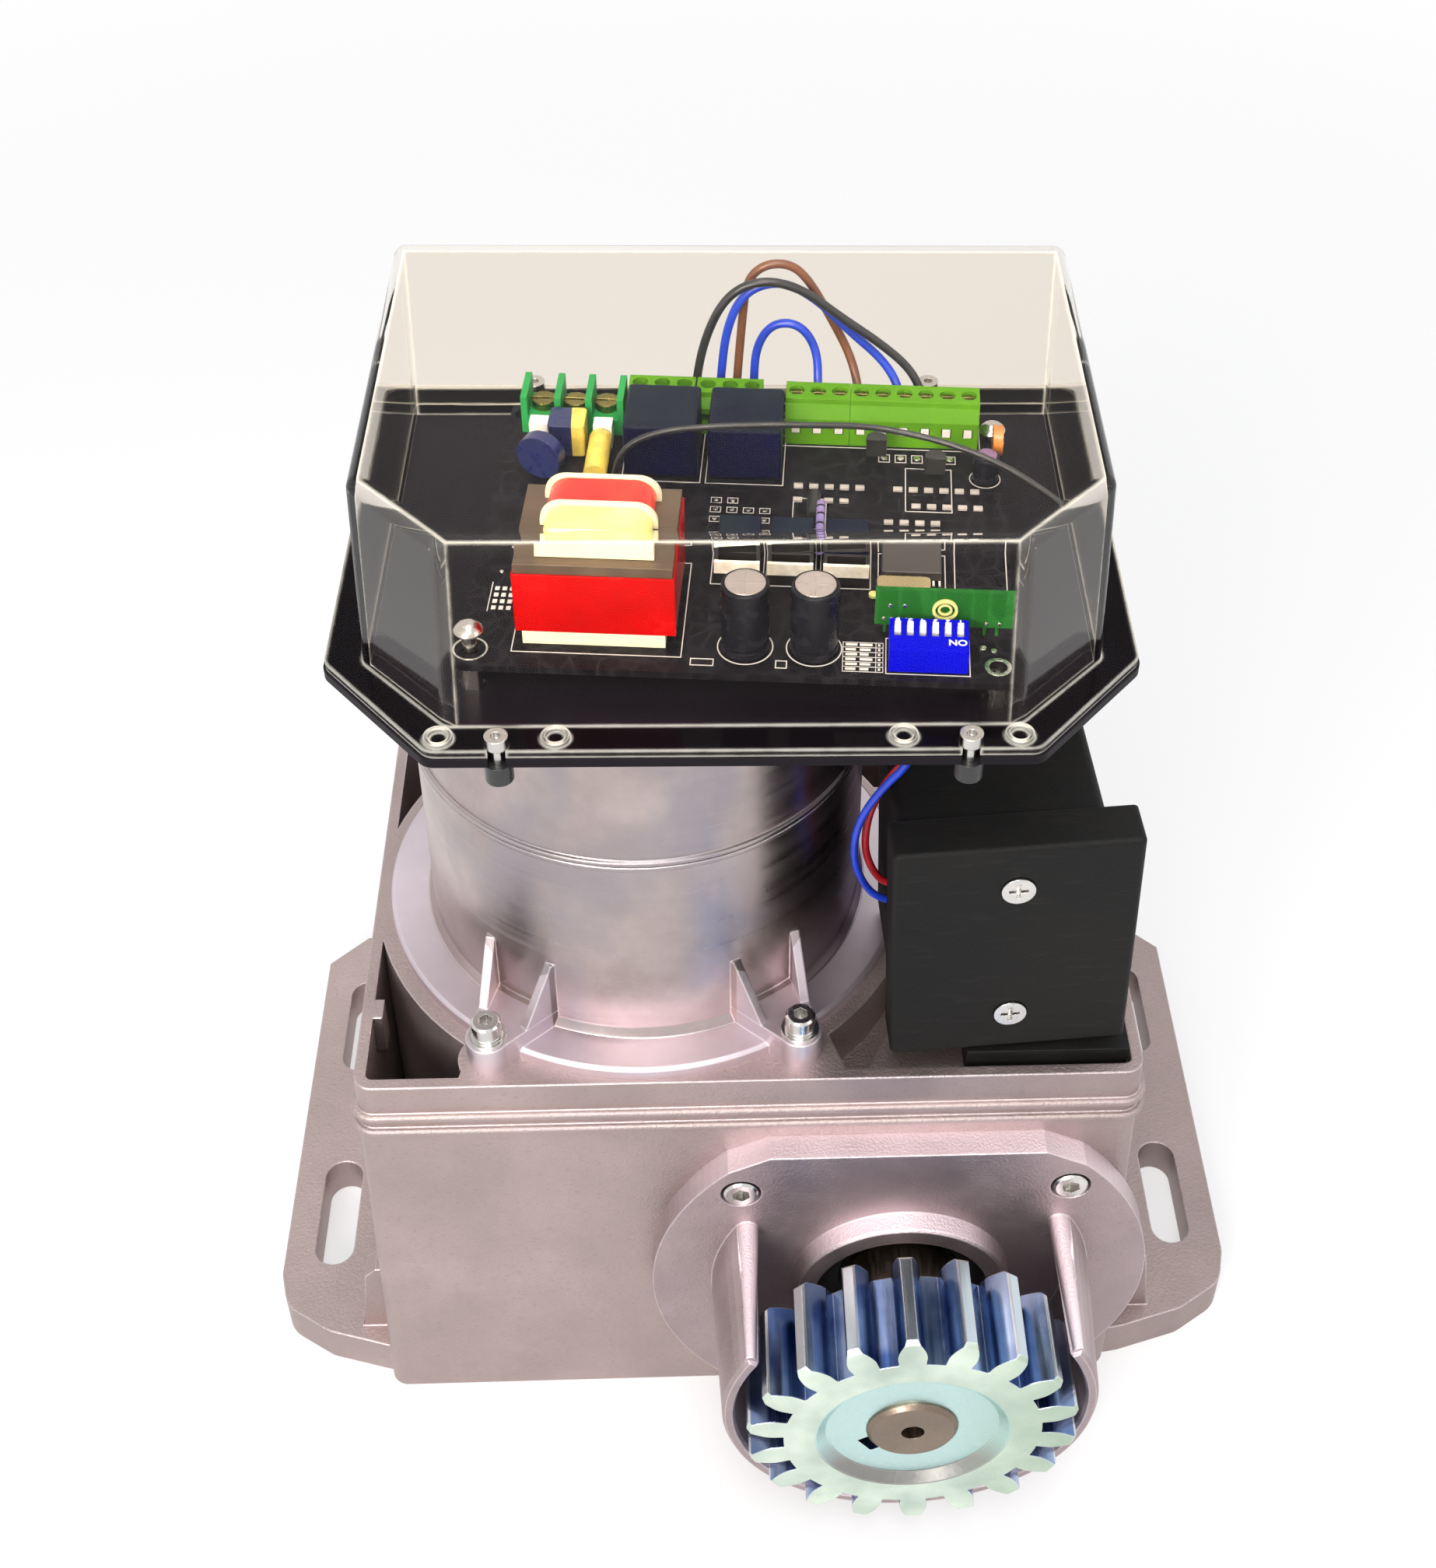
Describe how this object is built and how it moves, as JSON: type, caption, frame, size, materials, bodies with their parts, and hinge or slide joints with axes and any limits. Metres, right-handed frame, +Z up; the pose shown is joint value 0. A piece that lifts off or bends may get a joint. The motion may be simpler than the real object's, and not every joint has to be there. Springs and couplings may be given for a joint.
{
  "type": "sliding gate motor",
  "caption": "Sliding gate operator: cast gearbox with rack pinion in an open guard, vertical motor, worm drive, limit switch box and control board under a clear cover.",
  "frame": {"origin": "on the ground plane, midway between the four foot slots", "axes": "+X to the right seen from the gate, -Y towards the gate and its rack, +Z up"},
  "size_m": [0.2616, 0.2021, 0.287],
  "materials": {
    "cast_aluminium": "sand-blasted casting, satin",
    "motor_aluminium": "turned and die cast, brighter satin",
    "stainless_screws": "bright stainless",
    "zinc_steel": "blue-bright zinc plate",
    "bright_steel": "machined steel",
    "bearing_steel": "polished bearing steel",
    "worm_steel": "ground steel",
    "bronze": "machined bronze",
    "seal_rubber": "matt nitrile",
    "stator_steel": "laminated, dull",
    "copper_winding": "enamelled wire, varnished",
    "black_plate": "fine grain black moulding",
    "clear_plastic": "clear polycarbonate, glossy",
    "black_abs": "fine grain black moulding",
    "black_nut": "black nylon",
    "black_solder_mask": "black solder mask with white legend",
    "laminated_core": "varnished laminations",
    "red_tape": "glossy red tape",
    "cream_nylon": "natural nylon",
    "winding_tape": "yellow and red coil tape",
    "relay_black": "satin black can",
    "terminal_green": "green moulding",
    "barrier_green": "dark green moulding",
    "terminal_metal": "nickel plate",
    "white_nylon": "white nylon",
    "capacitor_sleeve": "dark sleeve, bare aluminium top",
    "suppressor_mix": "epoxy and plastic",
    "chip_black": "moulded epoxy",
    "receiver_green": "green solder mask",
    "dip_blue": "blue moulding",
    "dip_white": "white nylon",
    "brown_pvc": "brown PVC",
    "blue_pvc": "blue PVC",
    "black_pvc": "black PVC"
  },
  "bodies": {
    "housing": {"base_casting": "cast_aluminium", "bearing_flange": "cast_aluminium", "flange_screws": "stainless_screws", "shaft_bearings": "bearing_steel", "motor_bearings": "bearing_steel", "oil_seals": "seal_rubber", "motor_lower_shield": "motor_aluminium", "motor_upper_shield": "motor_aluminium", "motor_screws": "stainless_screws", "stator_core": "stator_steel", "stator_windings": "copper_winding", "control_plate": "black_plate", "plate_pillars": "bright_steel", "clear_cover": "clear_plastic", "cover_screws": "stainless_screws", "cover_nuts": "black_nut", "limit_cover": "black_abs", "limit_box": "black_abs", "limit_screws": "stainless_screws", "limit_reeds": "receiver_green", "limit_foot": "black_abs", "circuit_board": "black_solder_mask", "board_standoffs": "stainless_screws", "transformer_core": "laminated_core", "transformer_tape": "red_tape", "transformer_bobbin": "cream_nylon", "transformer_windings": "winding_tape", "power_relays": "relay_black", "terminal_blocks": "terminal_green", "barrier_terminal": "barrier_green", "terminal_screws": "terminal_metal", "blade_sockets": "white_nylon", "capacitors": "capacitor_sleeve", "suppressors": "suppressor_mix", "small_relays": "relay_black", "pin_headers": "white_nylon", "logic_chip": "chip_black", "crystal": "terminal_metal", "receiver_board": "receiver_green", "small_parts": "chip_black", "dip_switch": "dip_blue", "brown_leads": "brown_pvc", "blue_leads": "blue_pvc", "black_lead": "black_pvc", "limit_leads": "blue_pvc", "antenna_wire": "black_pvc"},
    "output": {"output_shaft": "bright_steel", "pinion": "zinc_steel", "pinion_key": "bright_steel", "worm_wheel": "bronze"},
    "rotor": {"worm_shaft": "worm_steel", "rotor_core": "stator_steel"},
    "slider_1": {"dip_slider_1": "dip_white"},
    "slider_2": {"dip_slider_2": "dip_white"},
    "slider_3": {"dip_slider_3": "dip_white"},
    "slider_4": {"dip_slider_4": "dip_white"},
    "slider_5": {"dip_slider_5": "dip_white"},
    "slider_6": {"dip_slider_6": "dip_white"}
  },
  "joints": [
    {"name": "rotor_spin", "type": "hinge", "parent": "housing", "child": "rotor", "pos_m": [-0.025, -0.016, 0], "axis": [0, 0, 1], "continuous": true},
    {"name": "output_spin", "type": "hinge", "parent": "housing", "child": "output", "pos_m": [0.0375, -0.08, 0.0565], "axis": [0, 1, 0], "continuous": true},
    {"name": "slider_1_slide", "type": "slide", "parent": "housing", "child": "slider_1", "axis": [-0.0767, -0.9971, 0], "range_m": [0, 0.0016]},
    {"name": "slider_2_slide", "type": "slide", "parent": "housing", "child": "slider_2", "axis": [-0.0767, -0.9971, 0], "range_m": [0, 0.0016]},
    {"name": "slider_3_slide", "type": "slide", "parent": "housing", "child": "slider_3", "axis": [-0.0767, -0.9971, 0], "range_m": [0, 0.0016]},
    {"name": "slider_4_slide", "type": "slide", "parent": "housing", "child": "slider_4", "axis": [-0.0767, -0.9971, 0], "range_m": [0, 0.0016]},
    {"name": "slider_5_slide", "type": "slide", "parent": "housing", "child": "slider_5", "axis": [-0.0767, -0.9971, 0], "range_m": [0, 0.0016]},
    {"name": "slider_6_slide", "type": "slide", "parent": "housing", "child": "slider_6", "axis": [-0.0767, -0.9971, 0], "range_m": [0, 0.0016]}
  ],
  "couplings": [
    {"joint": "output_spin", "follows": "rotor_spin", "ratio": -0.033333}
  ]
}
